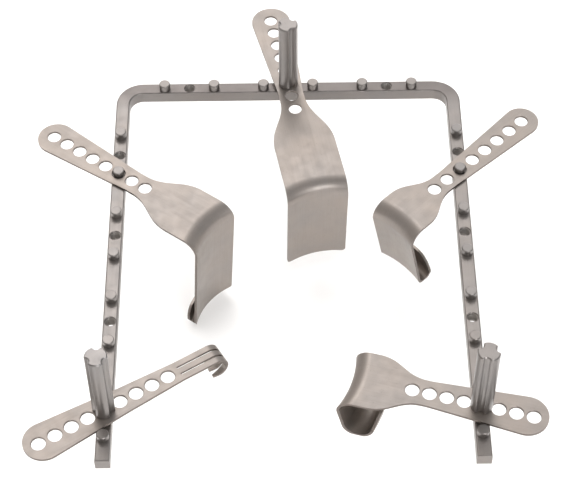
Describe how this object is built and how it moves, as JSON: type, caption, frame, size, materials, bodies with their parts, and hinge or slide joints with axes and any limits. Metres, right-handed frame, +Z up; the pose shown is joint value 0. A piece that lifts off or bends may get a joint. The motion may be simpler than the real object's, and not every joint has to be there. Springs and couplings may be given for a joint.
{
  "type": "self-retaining frame retractor",
  "caption": "Open U-shaped steel retractor frame with pegs and tapped holes, perforated scoop blades, a pronged rake blade and lobed clamp screws.",
  "frame": {"origin": "centre of the four leg holes at y +-30, on the underside of the frame", "axes": "+X to the right across the frame, +Y towards the closed top bar of the U, +Z up along the pegs and clamp screws; blades reach down to -Z"},
  "size_m": [0.2988, 0.3265, 0.1348],
  "materials": {
    "frame_steel": "satin, fine grain along the bar",
    "peg_steel": "satin, turned",
    "blade_steel": "satin, fine grain along the blade",
    "grip_steel": "satin, drawn along the flutes",
    "stud_steel": "machined thread"
  },
  "bodies": {
    "frame": {"frame_bar": "frame_steel", "peg_top_1": "peg_steel", "peg_top_2": "peg_steel", "peg_top_3": "peg_steel", "peg_top_4": "peg_steel", "peg_top_5": "peg_steel", "peg_top_6": "peg_steel", "peg_left_1": "peg_steel", "peg_left_2": "peg_steel", "peg_left_3": "peg_steel", "peg_left_4": "peg_steel", "peg_left_5": "peg_steel", "peg_left_6": "peg_steel", "peg_left_7": "peg_steel", "peg_left_8": "peg_steel", "peg_right_1": "peg_steel", "peg_right_2": "peg_steel", "peg_right_3": "peg_steel", "peg_right_4": "peg_steel", "peg_right_5": "peg_steel", "peg_right_6": "peg_steel", "peg_right_7": "peg_steel", "peg_right_8": "peg_steel", "collar_top": "peg_steel", "collar_left": "peg_steel", "collar_right": "peg_steel"},
    "blade_top": {"blade_top": "blade_steel"},
    "blade_left": {"blade_left": "blade_steel"},
    "blade_right": {"blade_right": "blade_steel"},
    "blade_scoop": {"blade_scoop": "blade_steel"},
    "blade_rake": {"blade_rake": "blade_steel"},
    "screw_top": {"stud_top": "stud_steel"},
    "knob_top": {"grip_top": "grip_steel"},
    "screw_left": {"stud_left": "stud_steel"},
    "knob_left": {"grip_left": "grip_steel"},
    "screw_right": {"stud_right": "stud_steel"},
    "knob_right": {"grip_right": "grip_steel"}
  },
  "joints": [
    {"name": "blade_top_swing", "type": "hinge", "parent": "frame", "child": "blade_top", "pos_m": [0, 0.143, 0.0105], "axis": [0, 0, 1], "range_deg": [-25, 20]},
    {"name": "blade_left_swing", "type": "hinge", "parent": "frame", "child": "blade_left", "pos_m": [-0.1, 0.075, 0.008], "axis": [0, 0, 1], "range_deg": [-20, 18]},
    {"name": "blade_right_swing", "type": "hinge", "parent": "frame", "child": "blade_right", "pos_m": [0.1, 0.075, 0.008], "axis": [0, 0, 1], "range_deg": [-18, 15]},
    {"name": "blade_scoop_swing", "type": "hinge", "parent": "frame", "child": "blade_scoop", "pos_m": [0.1, -0.09, 0.0105], "axis": [0, 0, 1], "range_deg": [-6, 30]},
    {"name": "blade_rake_swing", "type": "hinge", "parent": "frame", "child": "blade_rake", "pos_m": [-0.1, -0.09, 0.0105], "axis": [0, 0, 1], "range_deg": [-30, 0]},
    {"name": "screw_top_lift", "type": "slide", "parent": "frame", "child": "screw_top", "axis": [0, 0, 1], "range_m": [0, 0.004]},
    {"name": "knob_top_turn", "type": "hinge", "parent": "screw_top", "child": "knob_top", "pos_m": [0, 0.143, 0.012], "axis": [0, 0, 1], "range_deg": [0, 1440]},
    {"name": "screw_left_lift", "type": "slide", "parent": "frame", "child": "screw_left", "axis": [0, 0, 1], "range_m": [0, 0.004]},
    {"name": "knob_left_turn", "type": "hinge", "parent": "screw_left", "child": "knob_left", "pos_m": [-0.1, -0.09, 0.012], "axis": [0, 0, 1], "range_deg": [0, 1440]},
    {"name": "screw_right_lift", "type": "slide", "parent": "frame", "child": "screw_right", "axis": [0, 0, 1], "range_m": [0, 0.004]},
    {"name": "knob_right_turn", "type": "hinge", "parent": "screw_right", "child": "knob_right", "pos_m": [0.1, -0.09, 0.012], "axis": [0, 0, 1], "range_deg": [0, 1440]}
  ],
  "couplings": [
    {"joint": "screw_top_lift", "follows": "knob_top_turn", "m_per_rad": 0.00015915},
    {"joint": "screw_left_lift", "follows": "knob_left_turn", "m_per_rad": 0.00015915},
    {"joint": "screw_right_lift", "follows": "knob_right_turn", "m_per_rad": 0.00015915}
  ]
}
